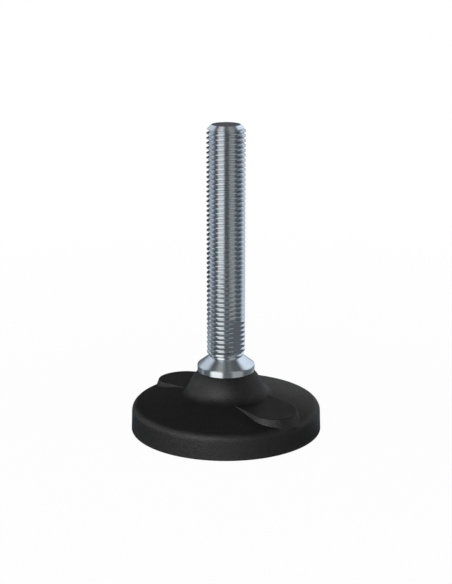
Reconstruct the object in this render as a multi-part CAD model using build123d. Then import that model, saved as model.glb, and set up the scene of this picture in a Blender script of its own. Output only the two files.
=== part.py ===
from build123d import *
import os
from math import cos, radians, sin, sqrt, tan

# A levelling foot for machines: a moulded plastic base and a turned steel spindle.
# Millimetres. The floor is z = 0, the spindle stands along +Z, the two lugs lie on +X and -X.

# Base plate
base_d = 80.0            # across the rim where it stands on the floor
side_draft = 2.0         # lean of the side wall, degrees
rim_height = 10.55       # where the side wall and the top of the plate would meet
rim_round = 3.5          # rounding of the upper rim
plate_slope = 13.0       # fall of the plate's top from the dome to the rim, degrees
flare_round = 6.2        # hollow curve from the plate up into the dome

# Ball joint
ball_d = 18.0
ball_height = 13.0       # ball centre above the floor
ball_clearance = 0.15    # between ball and socket
snap_hold = 0.4          # how far the socket's lip reaches over the ball, on the radius
dome_r = 16.6            # outer dome, centred on the ball
dome_clearance = 0.45    # between the dome and the hollow under the collar
tilt_limit = 10.0        # lean of the spindle each way, degrees
mouth_clearance = 0.3    # left between the neck and the socket's mouth at that lean
mouth_chamfer = 0.8      # lead-in for pressing the ball in

# Lugs
lug_width = 20.8         # across the top at its outer end
lug_reach = 38.1         # from the spindle's axis to the outer end of the lug's top
lug_height = 14.0        # top of the lug at its outer end
lug_slope = 4.3          # fall of the lug's top towards the rim, degrees
lug_draft = 20.0         # lean of the lug's walls, degrees
lug_round = 0.4          # rounding of the lug's upper edge
lug_setback = 0.1        # the lug's end stays this far inside the side wall

# Underside
side_wall = 3.0
plate_skin = 3.0         # thickness of the plate over the pockets
hub_d = 27.0             # solid column under and around the socket
rib_count = 12
rib_thickness = 2.0
ring_rib_d = 50.0        # centre line of the round rib between hub and rim
rib_recess = 0.6         # ribs stay this far above the floor
pocket_draft = 1.0       # lean of the pocket walls, degrees

# Fixing holes under the lugs, closed by a thin skin that is drilled out for use
pilot_d = 9.0
pilot_spacing = 54.0
pilot_wall = 2.5
pilot_skin = 1.5

# Spindle
thread_d = 16.0
stud_length = 97.3       # from the tip of the collar's cone to the top end
stud_chamfer = 2.1       # at the top end
relief_d = 14.0          # plain groove between thread and collar
relief_length = 0.6
runout_length = 1.0      # cone from the groove out to the thread
ball_flat_d = 4.0        # small flat under the ball
collar_d = 24.0
collar_band = 2.7
collar_cone = 3.8
flats_width = 13.0       # across the two wrench flats
flats_length = 15.0
flats_rise = 1.5         # start of the flats above the tip of the collar's cone

base_r = base_d / 2
ball_r = ball_d / 2
collar_r = collar_d / 2
hub_r = hub_d / 2
pilot_r = pilot_d / 2
socket_r = ball_r + ball_clearance
mouth_r = ball_r - snap_hold
hollow_r = dome_r + dome_clearance


def sphere_rise(sphere_r, at_r):
    """Height above a sphere's centre of the point at the given radius from the axis."""
    return sqrt(sphere_r ** 2 - at_r ** 2)


def side_r(height):
    """Radius of the drafted side wall at a height above the floor."""
    return base_r - height * tan(radians(side_draft))


def plate_top(at_r):
    """Height of the plate's sloping top, before the rim is rounded."""
    return rim_height + (side_r(rim_height) - at_r) * tan(radians(plate_slope))


# The neck is as thick as the lean lets it be where it passes the rim of the mouth.
mouth_rise = sphere_rise(dome_r, mouth_r)
neck_r = (mouth_r - mouth_clearance - mouth_rise * tan(radians(tilt_limit))) * cos(radians(tilt_limit))
collar_foot = ball_height + sphere_rise(hollow_r, collar_r)
cone_tip = collar_foot + collar_band + collar_cone


def turned(profile):
    """A body turned about the spindle axis from a closed outline in the XZ plane."""
    return revolve(Plane.XZ * profile, Axis.Z)


def nearest_corner(profile, at_r, height):
    return profile.vertices().sort_by_distance(Vertex(at_r, height, 0))[0]


def plate_and_dome():
    plate = make_face(Polyline(
        (0, 0), (base_r, 0), (side_r(rim_height), rim_height), (0, plate_top(0)), close=True))
    dome = Pos(0, ball_height) * Circle(dome_r)
    upper_half = Pos(base_r / 2, base_r) * Rectangle(base_r, base_d)
    profile = plate + (dome & upper_half)
    profile = fillet(nearest_corner(profile, dome_r, plate_top(dome_r)), flare_round)
    profile = fillet(nearest_corner(profile, side_r(rim_height), rim_height), rim_round)
    return turned(profile)


def lug():
    """The lug on +X, from inside the dome to its full round end, under its sloping top."""
    end_centre = lug_reach - lug_width / 2
    outline = Pos(end_centre / 2, 0) * Rectangle(end_centre, lug_width)
    outline += Pos(end_centre, 0) * Circle(lug_width / 2)
    level = Plane((0, 0, lug_height))
    depth = lug_height - rim_height + rim_round + side_wall
    crest = lug_reach * tan(radians(lug_slope))
    body = extrude(level * outline, amount=depth, dir=(0, 0, -1), taper=-lug_draft)
    body += extrude(level * outline, amount=crest, dir=(0, 0, 1), taper=lug_draft)
    fall = radians(lug_slope)
    top = Plane(
        (lug_reach, 0, lug_height), x_dir=(cos(fall), 0, -sin(fall)), z_dir=(sin(fall), 0, cos(fall)))
    body = split(body, top, keep=Keep.BOTTOM)
    side_height = lug_height + crest
    side = Pos(0, 0, side_height / 2) * Cone(
        base_r - lug_setback, side_r(side_height) - lug_setback, side_height)
    return fillet(body.faces().sort_by(Axis.Z)[-1].edges(), lug_round) & side


def pocket(inner_r, outer_r):
    """One pocket between two ribs, drafted so that it leaves the mould."""
    ring = Circle(outer_r) - Circle(inner_r)
    half_angle = 180.0 / rib_count
    far = 2 * outer_r
    wedge_tip = rib_thickness / 2 / sin(radians(half_angle))
    wedge = make_face(Polyline(
        (wedge_tip, 0), (wedge_tip + far, far * tan(radians(half_angle))),
        (wedge_tip + far, -far * tan(radians(half_angle))), close=True))
    outline = Pos(0, 0, rib_recess) * (ring & wedge)
    return extrude(outline, amount=ball_height + dome_r, taper=pocket_draft)


def under_skin():
    """The room under the plate's skin that the pockets may fill."""
    drop = plate_skin / cos(radians(plate_slope))
    return turned(make_face(Polyline(
        (0, 0), (base_r, 0), (base_r, plate_top(base_r) - drop), (0, plate_top(0) - drop), close=True)))


def pilot_column(column_r, height):
    """Upright cylinders from the floor at both fixing holes."""
    column = extrude(Circle(column_r), amount=height)
    return Pos(pilot_spacing / 2, 0, 0) * column + Pos(-pilot_spacing / 2, 0, 0) * column


def underside():
    """All that the mould takes out from below: pockets, and the gap under the ribs."""
    ring_inner_r = (ring_rib_d - rib_thickness) / 2
    ring_outer_r = (ring_rib_d + rib_thickness) / 2
    rim_inner_r = base_r - side_wall
    cut = extrude(Circle(rim_inner_r) - Circle(hub_r), amount=rib_recess)
    for inner_r, outer_r in ((hub_r, ring_inner_r), (ring_outer_r, rim_inner_r)):
        one = pocket(inner_r, outer_r) & under_skin()
        for place in PolarLocations(0, rib_count):
            cut += place * one
    return cut - pilot_column(pilot_r + pilot_wall, plate_top(0))


def socket():
    """Ball socket, its straight mouth and the lead-in around the mouth."""
    mouth = Rectangle(mouth_r, hollow_r, align=(Align.MIN, Align.MIN))
    flare = make_face(Polyline(
        (0, mouth_rise - mouth_chamfer), (mouth_r, mouth_rise - mouth_chamfer),
        (mouth_r + 2 * mouth_chamfer, mouth_rise + mouth_chamfer), (0, mouth_rise + mouth_chamfer),
        close=True))
    return Pos(0, 0, ball_height) * (Sphere(socket_r) + turned(mouth + flare))


def moulded_base():
    body = plate_and_dome()
    for turn in (0, 180):
        body += Rot(0, 0, turn) * lug()
    lug_over_hole = lug_height + (lug_reach - pilot_spacing / 2 - pilot_r) * tan(radians(lug_slope))
    return body - underside() - pilot_column(pilot_r, lug_over_hole - pilot_skin) - socket()


def turned_spindle():
    stud_top = cone_tip + stud_length
    thread_foot = cone_tip + relief_length + runout_length
    collar = make_face(Polyline(
        (0, collar_foot), (collar_r, collar_foot), (collar_r, collar_foot + collar_band),
        (relief_d / 2, cone_tip), (0, cone_tip), close=True))
    stud = make_face(Polyline(
        (0, cone_tip), (relief_d / 2, cone_tip), (relief_d / 2, cone_tip + relief_length),
        (thread_d / 2, thread_foot), (thread_d / 2, stud_top - stud_chamfer),
        (thread_d / 2 - stud_chamfer, stud_top), (0, stud_top), close=True))
    ball_foot = sphere_rise(ball_r, ball_flat_d / 2)
    ball = Circle(ball_r) & Rectangle(ball_r, ball_foot + ball_r, align=(Align.MIN, Align.MIN)).moved(
        Pos(0, -ball_foot))
    neck = Pos(0, ball_height) * Rectangle(neck_r, cone_tip - ball_height, align=(Align.MIN, Align.MIN))
    collar -= Pos(0, ball_height) * Circle(hollow_r)
    body = turned(collar + stud + neck + Pos(0, ball_height) * ball)
    flat_cut = Box(thread_d, collar_d, flats_length, align=(Align.MIN, Align.CENTER, Align.MIN))
    for turn in (0, 180):
        body -= Rot(0, 0, turn) * Pos(flats_width / 2, 0, cone_tip + flats_rise) * flat_cut
    return body


os.makedirs("parts", exist_ok=True)
export_step(moulded_base(), "parts/base.step")
export_step(turned_spindle(), "parts/spindle.step")
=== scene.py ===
"""Levelling foot in a plain studio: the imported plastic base, and a spindle with its real thread."""
import math

import bmesh
import bpy
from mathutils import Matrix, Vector


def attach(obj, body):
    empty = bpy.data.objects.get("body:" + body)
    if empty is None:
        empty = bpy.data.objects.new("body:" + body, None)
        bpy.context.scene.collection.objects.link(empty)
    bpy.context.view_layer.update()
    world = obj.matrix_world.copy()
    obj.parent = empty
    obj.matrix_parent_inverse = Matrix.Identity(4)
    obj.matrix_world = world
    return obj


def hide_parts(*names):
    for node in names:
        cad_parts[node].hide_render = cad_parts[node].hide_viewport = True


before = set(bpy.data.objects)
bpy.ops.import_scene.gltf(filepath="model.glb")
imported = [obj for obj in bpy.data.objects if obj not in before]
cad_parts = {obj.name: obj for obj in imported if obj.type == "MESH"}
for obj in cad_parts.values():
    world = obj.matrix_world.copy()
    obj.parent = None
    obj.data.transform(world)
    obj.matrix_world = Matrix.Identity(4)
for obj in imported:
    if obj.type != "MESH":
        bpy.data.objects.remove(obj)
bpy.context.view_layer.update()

MM = 0.001
SEGMENTS = 96            # in one turn of a turned body or of the thread
SHARP_FROM = 15          # degrees between two faces from which their edge isn't smoothed

# Spindle, in millimetres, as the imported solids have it
BALL_Z, BALL_R, BALL_FLAT_R = 13.0, 9.0, 2.0
NECK_R, HOLLOW_R = 5.712, 17.05
COLLAR_R, COLLAR_FOOT, COLLAR_BAND, COLLAR_CONE = 12.0, 25.112, 2.7, 3.8
RELIEF_R, RELIEF_LENGTH, RUNOUT_LENGTH = 7.0, 0.6, 1.0
THREAD_R, STUD_LENGTH, STUD_CHAMFER = 8.0, 97.3, 2.1
FLATS_HALF, FLATS_RISE, FLATS_LENGTH = 6.5, 1.5, 15.0
CONE_TIP = COLLAR_FOOT + COLLAR_BAND + COLLAR_CONE
THREAD_FOOT = CONE_TIP + RELIEF_LENGTH + RUNOUT_LENGTH
STUD_TOP = CONE_TIP + STUD_LENGTH

# Small roundings of the collar, which the solids have as plain corners
HOLLOW_STOP = 0.6                                                 # degrees short of the collar's edge
LOWER_EDGE = ((0.1, 0.04), (0, 0.18))                             # inwards, and above the foot
UPPER_EDGE = ((0, -0.18), (0.06, 0), (0.2, 0.15), (0.3, 0.226))   # inwards, and above the band

# Thread M16 x 2, and the groove that is cut to make it
PITCH, CREST_FLAT, ROOT_R = 2.0, 0.33, 6.77
FLANK_ANGLE = 30         # degrees from a plane across the axis
FIRST_CREST = 33.85      # height of the lowest full crest on the side that faces the camera
ROOT_MIDDLE = 0.6        # share of the rounded root's width over which it is nearly flat
ROOT_LOW_RISE = 0.01     # rise of the root where that share ends
ROOT_FULL_RISE = 0.06    # rise of the root where the flanks begin
GROOVE_PROUD = 0.15      # the groove's body stands out of the stud by this
GROOVE_CROWN = 0.01      # rise of that body's outer side
GROOVE_BELOW, GROOVE_ABOVE = 0.6, 1.5      # past the thread's foot and past the stud's end
GROOVE_CLEAR = 0.05      # between the stud and the groove's shallow end
GROOVE_FADE = SEGMENTS // 3                # segments from that end to full depth

# Blocks that cut the wrench flats
CUTTER_HALF = 9          # half their width
CUTTER_PROUD = 2         # they stand out of the stud by this
BLOCK_FACES = ((0, 1, 3, 2), (4, 6, 7, 5), (0, 4, 5, 1), (2, 3, 7, 6), (0, 2, 6, 4), (1, 5, 7, 3))

# Camera, in metres, degrees and millimetres, worked out from the ellipses in the photograph
CAMERA_AT = (0.4362, -0.4068, 0.22507)
CAMERA_PITCH = 15.5625
LENS, SENSOR = 92.1, 36
FACING = math.atan2(CAMERA_AT[1], CAMERA_AT[0])

# Studio, in millimetres
FLOOR_HALF, FLOOR_STEPS = 3000, 12
FLOOR_CARD_LIFT = 0.1    # of a card that lies on the floor
SKY_CARD_REACH, SKY_CARD_Z = 2500, 60      # distance from a point on the axis, and its height
BACK_CARD_REACH = 2850
LAMP_AIM = Vector((0, 0, 0.03))            # metres


# Mesh code

def mesh_object(name, verts, faces):
    """A new object from corners in millimetres."""
    mesh = bpy.data.meshes.new(name)
    mesh.from_pydata([[c * MM for c in v] for v in verts], [], faces)
    mesh.update()
    obj = bpy.data.objects.new(name, mesh)
    bpy.context.scene.collection.objects.link(obj)
    return obj


def arc(centre_z, r, start, end, steps):
    """Points (radius, height) on a circle about the axis, angles in degrees above the horizon."""
    for i in range(steps + 1):
        a = math.radians(start + (end - start) * i / steps)
        yield r * math.cos(a), centre_z + r * math.sin(a)


def rise_of(r, sphere_r):
    """Degrees above the horizon at which a sphere has the given radius from the axis."""
    return math.degrees(math.acos(r / sphere_r))


def spindle_outline():
    """Half the spindle's section, from the flat under the ball up to the stud's end."""
    flat_angle = rise_of(BALL_FLAT_R, BALL_R)
    yield 0, BALL_Z - BALL_R * math.sin(math.radians(flat_angle))
    yield from arc(BALL_Z, BALL_R, -flat_angle, rise_of(NECK_R, BALL_R), steps=36)
    yield from arc(
        BALL_Z, HOLLOW_R, rise_of(NECK_R, HOLLOW_R), rise_of(COLLAR_R, HOLLOW_R) + HOLLOW_STOP, steps=8)
    for inwards, up in LOWER_EDGE:
        yield COLLAR_R - inwards, COLLAR_FOOT + up
    for inwards, up in UPPER_EDGE:
        yield COLLAR_R - inwards, COLLAR_FOOT + COLLAR_BAND + up
    yield RELIEF_R, CONE_TIP
    yield RELIEF_R, CONE_TIP + RELIEF_LENGTH
    yield THREAD_R, THREAD_FOOT
    yield THREAD_R, STUD_TOP - STUD_CHAMFER
    yield THREAD_R - STUD_CHAMFER, STUD_TOP
    yield 0, STUD_TOP


def turned(name, outline):
    """A closed body turned about the spindle's axis. The outline runs from axis to axis."""
    verts, faces, rings = [], [], []
    for r, z in outline:
        if r == 0:
            rings.append([len(verts)] * SEGMENTS)
            verts.append((0, 0, z))
            continue
        rings.append([len(verts) + i for i in range(SEGMENTS)])
        for i in range(SEGMENTS):
            a = 2 * math.pi * i / SEGMENTS
            verts.append((r * math.cos(a), r * math.sin(a), z))
    for low, high in zip(rings, rings[1:]):
        for i in range(SEGMENTS):
            j = (i + 1) % SEGMENTS
            face = []
            for v in (low[i], low[j], high[j], high[i]):
                if v not in face:
                    face.append(v)
            faces.append(face)
    return mesh_object(name, verts, faces)


def groove_half(r):
    """Half the width of the thread's groove at a radius."""
    return (PITCH - CREST_FLAT) / 2 - (THREAD_R - r) * math.tan(math.radians(FLANK_ANGLE))


def groove_section():
    """Corners of the groove's section, as (radius, height above its middle), once round."""
    outer, bend = THREAD_R + GROOVE_PROUD, ROOT_R + ROOT_FULL_RISE
    upper = [
        (ROOT_R + ROOT_LOW_RISE, groove_half(bend) * ROOT_MIDDLE),
        (bend, groove_half(bend)),
        (outer, groove_half(outer))]
    lower = [(r, -up) for r, up in reversed(upper)]
    return [*lower, (ROOT_R, 0), *upper, (outer + GROOVE_CROWN, 0)]


def thread_groove():
    """The body that a threading tool takes out: one long helical groove with a rounded root."""
    section = groove_section()
    start = FIRST_CREST - PITCH / 2 - PITCH * FACING / (2 * math.pi)
    low = round((THREAD_FOOT - GROOVE_BELOW - start) / PITCH * SEGMENTS)
    high = round((STUD_TOP + GROOVE_ABOVE - start) / PITCH * SEGMENTS)
    verts, faces = [], []
    for i in range(low, high + 1):
        a = 2 * math.pi * i / SEGMENTS
        lift = max(0.0, 1 - (i - low) / GROOVE_FADE) * (THREAD_R + GROOVE_CLEAR - ROOT_R)
        for r, up in section:
            reach = max(r, min(THREAD_R + GROOVE_PROUD, r + lift))
            verts.append((reach * math.cos(a), reach * math.sin(a), start + PITCH * i / SEGMENTS + up))
    n = len(section)
    for k in range(high - low):
        for j in range(n):
            m = (j + 1) % n
            faces.append((k * n + j, (k + 1) * n + j, (k + 1) * n + m, k * n + m))
    faces.append(list(range(n)))
    faces.append([(high - low) * n + j for j in reversed(range(n))])
    return mesh_object("thread_groove", verts, faces)


def flat_cutters():
    """Two blocks that mill the wrench flats."""
    verts, faces = [], []
    low = CONE_TIP + FLATS_RISE
    for side in (1, -1):
        first = len(verts)
        for x in (FLATS_HALF, THREAD_R + CUTTER_PROUD):
            for y in (-CUTTER_HALF, CUTTER_HALF):
                for z in (low, low + FLATS_LENGTH):
                    verts.append((side * x, y, z))
        for face in BLOCK_FACES:
            faces.append([first + v for v in (face if side > 0 else reversed(face))])
    return mesh_object("flat_cutters", verts, faces)


def outward(obj):
    """Turns all faces of a closed mesh outwards."""
    bm = bmesh.new()
    bm.from_mesh(obj.data)
    bmesh.ops.recalc_face_normals(bm, faces=bm.faces)
    bm.to_mesh(obj.data)
    bm.free()


def cut(obj, tool):
    """Takes the tool's body out of the object's mesh for good."""
    outward(tool)
    modifier = obj.modifiers.new("cut", "BOOLEAN")
    modifier.operation, modifier.object, modifier.solver = "DIFFERENCE", tool, "EXACT"
    shaped = bpy.data.meshes.new_from_object(obj.evaluated_get(bpy.context.evaluated_depsgraph_get()))
    obj.modifiers.clear()
    obj.data = shaped
    bpy.data.objects.remove(tool)


# Materials

class Nodes:
    """Short ways to add and join shader nodes in one tree."""

    def __init__(self, owner):
        owner.use_nodes = True
        self.tree = owner.node_tree
        self.tree.nodes.clear()

    def add(self, kind, inputs=None, **settings):
        """A new node, with a value or another node's output for each input."""
        node = self.tree.nodes.new(kind)
        for key, value in settings.items():
            setattr(node, key, value)
        for key, value in (inputs or {}).items():
            if isinstance(value, bpy.types.NodeSocket):
                self.tree.links.new(value, node.inputs[key])
            else:
                node.inputs[key].default_value = value
        return node

    def ramp(self, fac, *stops):
        """A colour ramp with stops (place, grey or colour)."""
        node = self.add("ShaderNodeValToRGB", {"Fac": fac})
        elements = node.color_ramp.elements
        while len(elements) < len(stops):
            elements.new(0.5)
        for element, (place, value) in zip(elements, stops):
            element.position = place
            element.color = (*value, 1) if isinstance(value, tuple) else (value, value, value, 1)
        return node.outputs["Color"]

    def noise(self, vector, scale, detail=2.0):
        return self.add(
            "ShaderNodeTexNoise", {"Vector": vector, "Scale": scale, "Detail": detail}).outputs["Fac"]

    def maths(self, operation, a, b):
        return self.add("ShaderNodeMath", {0: a, 1: b}, operation=operation).outputs[0]

    def place(self):
        """The point being shaded, in metres, in the piece's own frame."""
        return self.add("ShaderNodeTexCoord").outputs["Object"]

    def looked_at(self):
        """1 where the eye, a mirror or glass looks at the surface, and 0 for the light it gives off."""
        path = self.add("ShaderNodeLightPath").outputs
        eye_or_mirror = self.maths("MAXIMUM", path["Is Camera Ray"], path["Is Glossy Ray"])
        return self.maths("MAXIMUM", eye_or_mirror, path["Is Transmission Ray"])


def black_polyamide():
    """Moulded glass-filled polyamide: near black, with a fine dull grain and faint flow patches."""
    dark, pale = (0.0038, 0.0037, 0.0036), (0.0084, 0.0082, 0.0080)
    grain_share = 0.6
    material = bpy.data.materials.new("black_polyamide")
    n = Nodes(material)
    grain = n.noise(n.place(), scale=2400, detail=3)
    patches = n.noise(n.place(), scale=60, detail=4)
    mottle = n.maths(
        "ADD", n.maths("MULTIPLY", grain, grain_share), n.maths("MULTIPLY", patches, 1 - grain_share))
    bump = n.add("ShaderNodeBump", {"Height": grain, "Strength": 1.0, "Distance": 0.0002})
    shader = n.add("ShaderNodeBsdfPrincipled", {
        "Base Color": n.ramp(mottle, (0.3, dark), (0.7, pale)),
        "Roughness": n.ramp(grain, (0.3, 0.42), (0.7, 0.54)),
        "IOR": 1.5,
        "Normal": bump.outputs[0]})
    n.add("ShaderNodeOutputMaterial", {"Surface": shader.outputs[0]})
    return material


def zinc_plated_steel():
    """Turned steel under bright zinc: bluish, with fine rings from the lathe and a cloudy film."""
    dull, bright = (0.665, 0.705, 0.735), (0.695, 0.74, 0.77)
    material = bpy.data.materials.new("zinc_plated_steel")
    n = Nodes(material)
    film = n.noise(n.place(), scale=220, detail=4)
    flattened = n.add("ShaderNodeMapping", {"Vector": n.place(), "Scale": (30, 30, 5200)}).outputs[0]
    rings = n.noise(flattened, scale=1.0, detail=3)
    bump = n.add("ShaderNodeBump", {"Height": rings, "Strength": 0.02, "Distance": 0.00001})
    shader = n.add("ShaderNodeBsdfPrincipled", {
        "Base Color": n.ramp(film, (0.3, dull), (0.7, bright)),
        "Metallic": 1.0,
        "Roughness": n.ramp(rings, (0.3, 0.11), (0.7, 0.17)),
        "Normal": bump.outputs[0]})
    n.add("ShaderNodeOutputMaterial", {"Surface": shader.outputs[0]})
    return material


# The two pieces

def build_spindle():
    """The turned spindle with its wrench flats and real thread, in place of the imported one."""
    spindle = turned("spindle_turned", spindle_outline())
    outward(spindle)
    cut(spindle, flat_cutters())
    cut(spindle, thread_groove())
    spindle.data.shade_smooth()
    spindle.data.set_sharp_from_angle(angle=math.radians(SHARP_FROM))
    spindle.data.materials.clear()
    spindle.data.materials.append(zinc_plated_steel())
    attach(spindle, "stem")
    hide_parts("spindle")
    return spindle


def dress_base():
    """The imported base, in moulded plastic."""
    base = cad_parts["base"]
    base.data.materials.clear()
    base.data.materials.append(black_polyamide())
    return base


# Places in the studio

def way(turn, lean):
    """The direction from the foot that is turn degrees right of the camera and lean degrees up."""
    a, e = FACING + math.radians(turn), math.radians(lean)
    return Vector((math.cos(e) * math.cos(a), math.cos(e) * math.sin(a), math.sin(e)))


def on_the_floor(turn, r):
    """Where an upright facet that faces turn is mirrored to, at a distance from the axis."""
    return way(2 * turn, 0) * r + Vector((0, 0, FLOOR_CARD_LIFT))


def in_the_sky(turn, lean):
    """Where a facet that faces turn and leans up is mirrored to, far off."""
    toward, facet = way(0, CAMERA_PITCH), way(turn, lean)
    mirrored = 2 * facet.dot(toward) * facet - toward
    return mirrored * SKY_CARD_REACH + Vector((0, 0, SKY_CARD_Z))


def behind(turn, height):
    """A place beyond the foot and the other cards, at a height in degrees."""
    return way(180 - turn, height) * BACK_CARD_REACH


def spaced(start, end, count=10):
    """Values from start to end in equal steps."""
    return [start + (end - start) * i / count for i in range(count + 1)]


# Cards that bright metal shows

def only(name, piece):
    """A collection that makes a light or a card work on one piece alone."""
    group = bpy.data.collections.new(name)
    group.objects.link(piece)
    return group


def ramp_at(along):
    """Runs from 0 to 1 over a width of 1, with its middle at 0."""
    return max(0.0, min(1.0, along + 0.5))


def card_colour(level, turn):
    """A card's grey: slightly warm where it is bright and near the camera, bluish elsewhere."""
    bluish_from, bluish_over, bluish_below = 35, 20, 0.4      # degrees, degrees, brightness
    cool = max(ramp_at((abs(turn) - bluish_from) / bluish_over), 1 - level / bluish_below)
    return level * (1.01 - 0.11 * cool), level, level * (0.98 + 0.13 * cool), 1


def studio_card(name, verts, faces, colours, lit):
    """A grey card that only mirrors see, as a photographer sets beside bright metal."""
    card = mesh_object(name, verts, faces)
    painted = card.data.color_attributes.new("tone", "FLOAT_COLOR", "POINT")
    for corner, colour in zip(painted.data, colours):
        corner.color = colour
    material = bpy.data.materials.new(name)
    n = Nodes(material)
    tone = n.add("ShaderNodeAttribute", attribute_name="tone").outputs["Color"]
    glow = n.add("ShaderNodeEmission", {"Color": tone, "Strength": 1.0})
    n.add("ShaderNodeOutputMaterial", {"Surface": glow.outputs[0]})
    card.data.materials.append(material)
    card.visible_camera = card.visible_diffuse = card.visible_shadow = card.visible_transmission = False
    card.light_linking.receiver_collection = lit


def striped_card(name, ground, edge, rows, place, stripes, lit=None):
    """A card round the foot, as bright as its ground, with stripes (from, to, brightness) across it.

    A stripe's ends are turns, in degrees right of the camera, and fade over the edge's width.
    The function place(turn, row) gives a corner of the card, and rows are its rows.
    """
    verts, faces, colours = [], [], []
    turns = range(-90, 91)
    for turn in turns:
        level = ground
        for start, end, bright in stripes:
            level += (bright - ground) * ramp_at((turn - start) / edge) * ramp_at((end - turn) / edge)
        for row in rows:
            verts.append(place(turn, row))
            colours.append(card_colour(level, turn))
    n = len(rows)
    for i in range(len(turns) - 1):
        for j in range(n - 1):
            faces.append((i * n + j, i * n + j + 1, (i + 1) * n + j + 1, (i + 1) * n + j))
    studio_card(name, verts, faces, colours, lit)


def set_cards(steel):
    """All the cards. Those that don't lie on the floor are for the steel alone."""
    # For the rim, for the collar and the wrench flats, and for the stud
    striped_card(
        "card_rim", ground=0.09, edge=20, rows=(40.1, 80), place=on_the_floor,
        stripes=((-110, -48, 0.18), (-30, 18, 0.29), (49, 110, 0.5)))
    striped_card(
        "card_collar", ground=0.14, edge=5, rows=(80, 190), place=on_the_floor, stripes=(
            (-99, -75, 0.3), (-54, -48, 0.42), (-30, -6.5, 1.3), (11.5, 34, 0.44), (60, 99, 0.28)))
    striped_card(
        "card_stud", ground=0.11, edge=8, rows=(190, 2600), place=on_the_floor,
        stripes=((-80, -46, 0.60), (-30, -6.5, 0.95), (11.5, 33, 0.41), (58, 99, 0.38)))
    # For the end's chamfer, for the collar's cone and for the thread's flanks
    striped_card(
        "card_chamfer", ground=0.14, edge=10, rows=spaced(8, 49), place=in_the_sky, lit=steel,
        stripes=((-66, -43, 0.68), (-27, -7.5, 0.80), (8, 30, 0.34), (44, 99, 0.82)))
    striped_card(
        "card_cone", ground=0.11, edge=12, rows=spaced(49, 57), place=in_the_sky, lit=steel,
        stripes=((-110, -39, 0.76), (-20, -5, 0.38), (6, 13, 0.20), (39, 110, 1.0)))
    striped_card(
        "card_flank", ground=0.04, edge=6, rows=spaced(57, 68), place=in_the_sky, lit=steel,
        stripes=((-67, -43, 1.25), (-26, -7.5, 0.26), (11, 28, 0.20), (43, 99, 0.72)))
    # Two grey ones beyond the foot
    striped_card(
        "card_back_low", ground=0.10, edge=10, rows=(-1, 12, 25), place=behind, lit=steel,
        stripes=((11, 80, 0.40),))
    striped_card(
        "card_back_high", ground=0.07, edge=10, rows=(25, 50, 80), place=behind, lit=steel, stripes=())


# Floor, room, lamps and camera

def floor_paper():
    """Plain pale paper, which the eye and mirrors see as white, with the foot's soft shadow near it."""
    material = bpy.data.materials.new("floor_paper")
    n = Nodes(material)
    matt = n.add("ShaderNodeBsdfDiffuse", {
        "Color": n.ramp(n.noise(n.place(), scale=3), (0.3, 0.79), (0.7, 0.81))})
    glow = n.add("ShaderNodeEmission", {"Color": (1, 1, 1, 1), "Strength": 1.0})
    from_foot = n.add("ShaderNodeVectorMath", {0: n.place()}, operation="LENGTH").outputs["Value"]
    white = n.maths("MULTIPLY", n.looked_at(), n.ramp(from_foot, (0.1, 0.97), (0.4, 1.0)))
    mix = n.add("ShaderNodeMixShader", {0: white, 1: matt.outputs[0], 2: glow.outputs[0]})
    n.add("ShaderNodeOutputMaterial", {"Surface": mix.outputs[0]})
    return material


def floor_sheet():
    """A wide sheet of paper under the foot."""
    verts, faces = [], []
    corners = spaced(-FLOOR_HALF, FLOOR_HALF, FLOOR_STEPS)
    for x in corners:
        for y in corners:
            verts.append((x, y, 0))
    for i in range(FLOOR_STEPS):
        for j in range(FLOOR_STEPS):
            a = i * (FLOOR_STEPS + 1) + j
            faces.append((a, a + FLOOR_STEPS + 1, a + FLOOR_STEPS + 2, a + 1))
    sheet = mesh_object("floor", verts, faces)
    sheet.data.materials.append(floor_paper())


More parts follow.
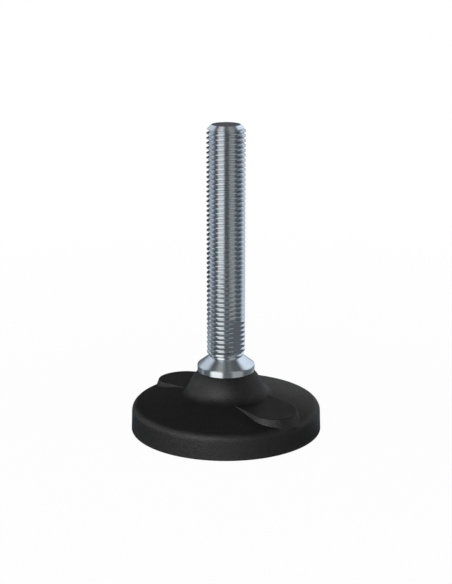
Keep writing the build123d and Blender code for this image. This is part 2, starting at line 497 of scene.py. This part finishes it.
def white_room():
    """A world that looks white, and lights the foot weakly from all sides."""
    world = bpy.data.worlds.new("studio")
    bpy.context.scene.world = world
    n = Nodes(world)
    weak = n.add("ShaderNodeBackground", {"Color": (1, 1, 1, 1), "Strength": 0.2})
    white = n.add("ShaderNodeBackground", {"Color": (1, 1, 1, 1), "Strength": 1.0})
    mix = n.add("ShaderNodeMixShader", {0: n.looked_at(), 1: weak.outputs[0], 2: white.outputs[0]})
    n.add("ShaderNodeOutputWorld", {"Surface": mix.outputs[0]})


def softbox(name, turn, lean, distance, size, power):
    """An area lamp aimed at the foot, at degrees right of the camera and up, in metres and watts."""
    lamp = bpy.data.lights.new(name, "AREA")
    lamp.shape, lamp.energy = "RECTANGLE", power
    lamp.size, lamp.size_y = size
    obj = bpy.data.objects.new(name, lamp)
    bpy.context.scene.collection.objects.link(obj)
    obj.location = LAMP_AIM + way(turn, lean) * distance
    obj.rotation_euler = way(turn, lean).to_track_quat("Z", "Y").to_euler()
    return obj


def set_lamps(plastic):
    """Two lamps for all the foot, and six that only give the plastic its sheen."""
    for lamp in (
            softbox("key", -32, 36, 1.2, (1.1, 1.1), 10),
            softbox("fill", 45, 10, 1.4, (0.9, 0.9), 6)):
        lamp.visible_glossy = False
    for sheen in (
            softbox("sheen_front", -33, 24, 1.2, (0.5, 0.5), 6.6),
            softbox("sheen_low", -4, 9, 1.2, (0.9, 0.4), 3.2),
            softbox("sheen_left", -98, 20, 1.2, (1.4, 0.6), 3.8),
            softbox("sheen_far", -165, 25, 1.2, (0.8, 0.6), 0.16),
            softbox("sheen_right", 100, 20, 1.2, (1.2, 1.0), 2.8),
            softbox("sheen_back", 156, 11, 1.4, (1.0, 0.7), 1.35)):
        sheen.visible_diffuse = False
        sheen.light_linking.receiver_collection = plastic


def set_camera():
    """The photograph's camera, and plain colours."""
    camera = bpy.data.objects.new("camera", bpy.data.cameras.new("camera"))
    bpy.context.scene.collection.objects.link(camera)
    camera.location = CAMERA_AT
    camera.rotation_euler = (
        math.radians(90 - CAMERA_PITCH), 0, math.atan2(CAMERA_AT[0], -CAMERA_AT[1]))
    camera.data.lens, camera.data.sensor_width = LENS, SENSOR
    camera.data.clip_start, camera.data.clip_end = 0.01, 20
    bpy.context.scene.camera = camera
    bpy.context.scene.view_settings.view_transform = "Standard"


spindle = build_spindle()
base = dress_base()
steel, plastic = only("steel", spindle), only("plastic", base)
set_cards(steel)
floor_sheet()
white_room()
set_lamps(plastic)
set_camera()
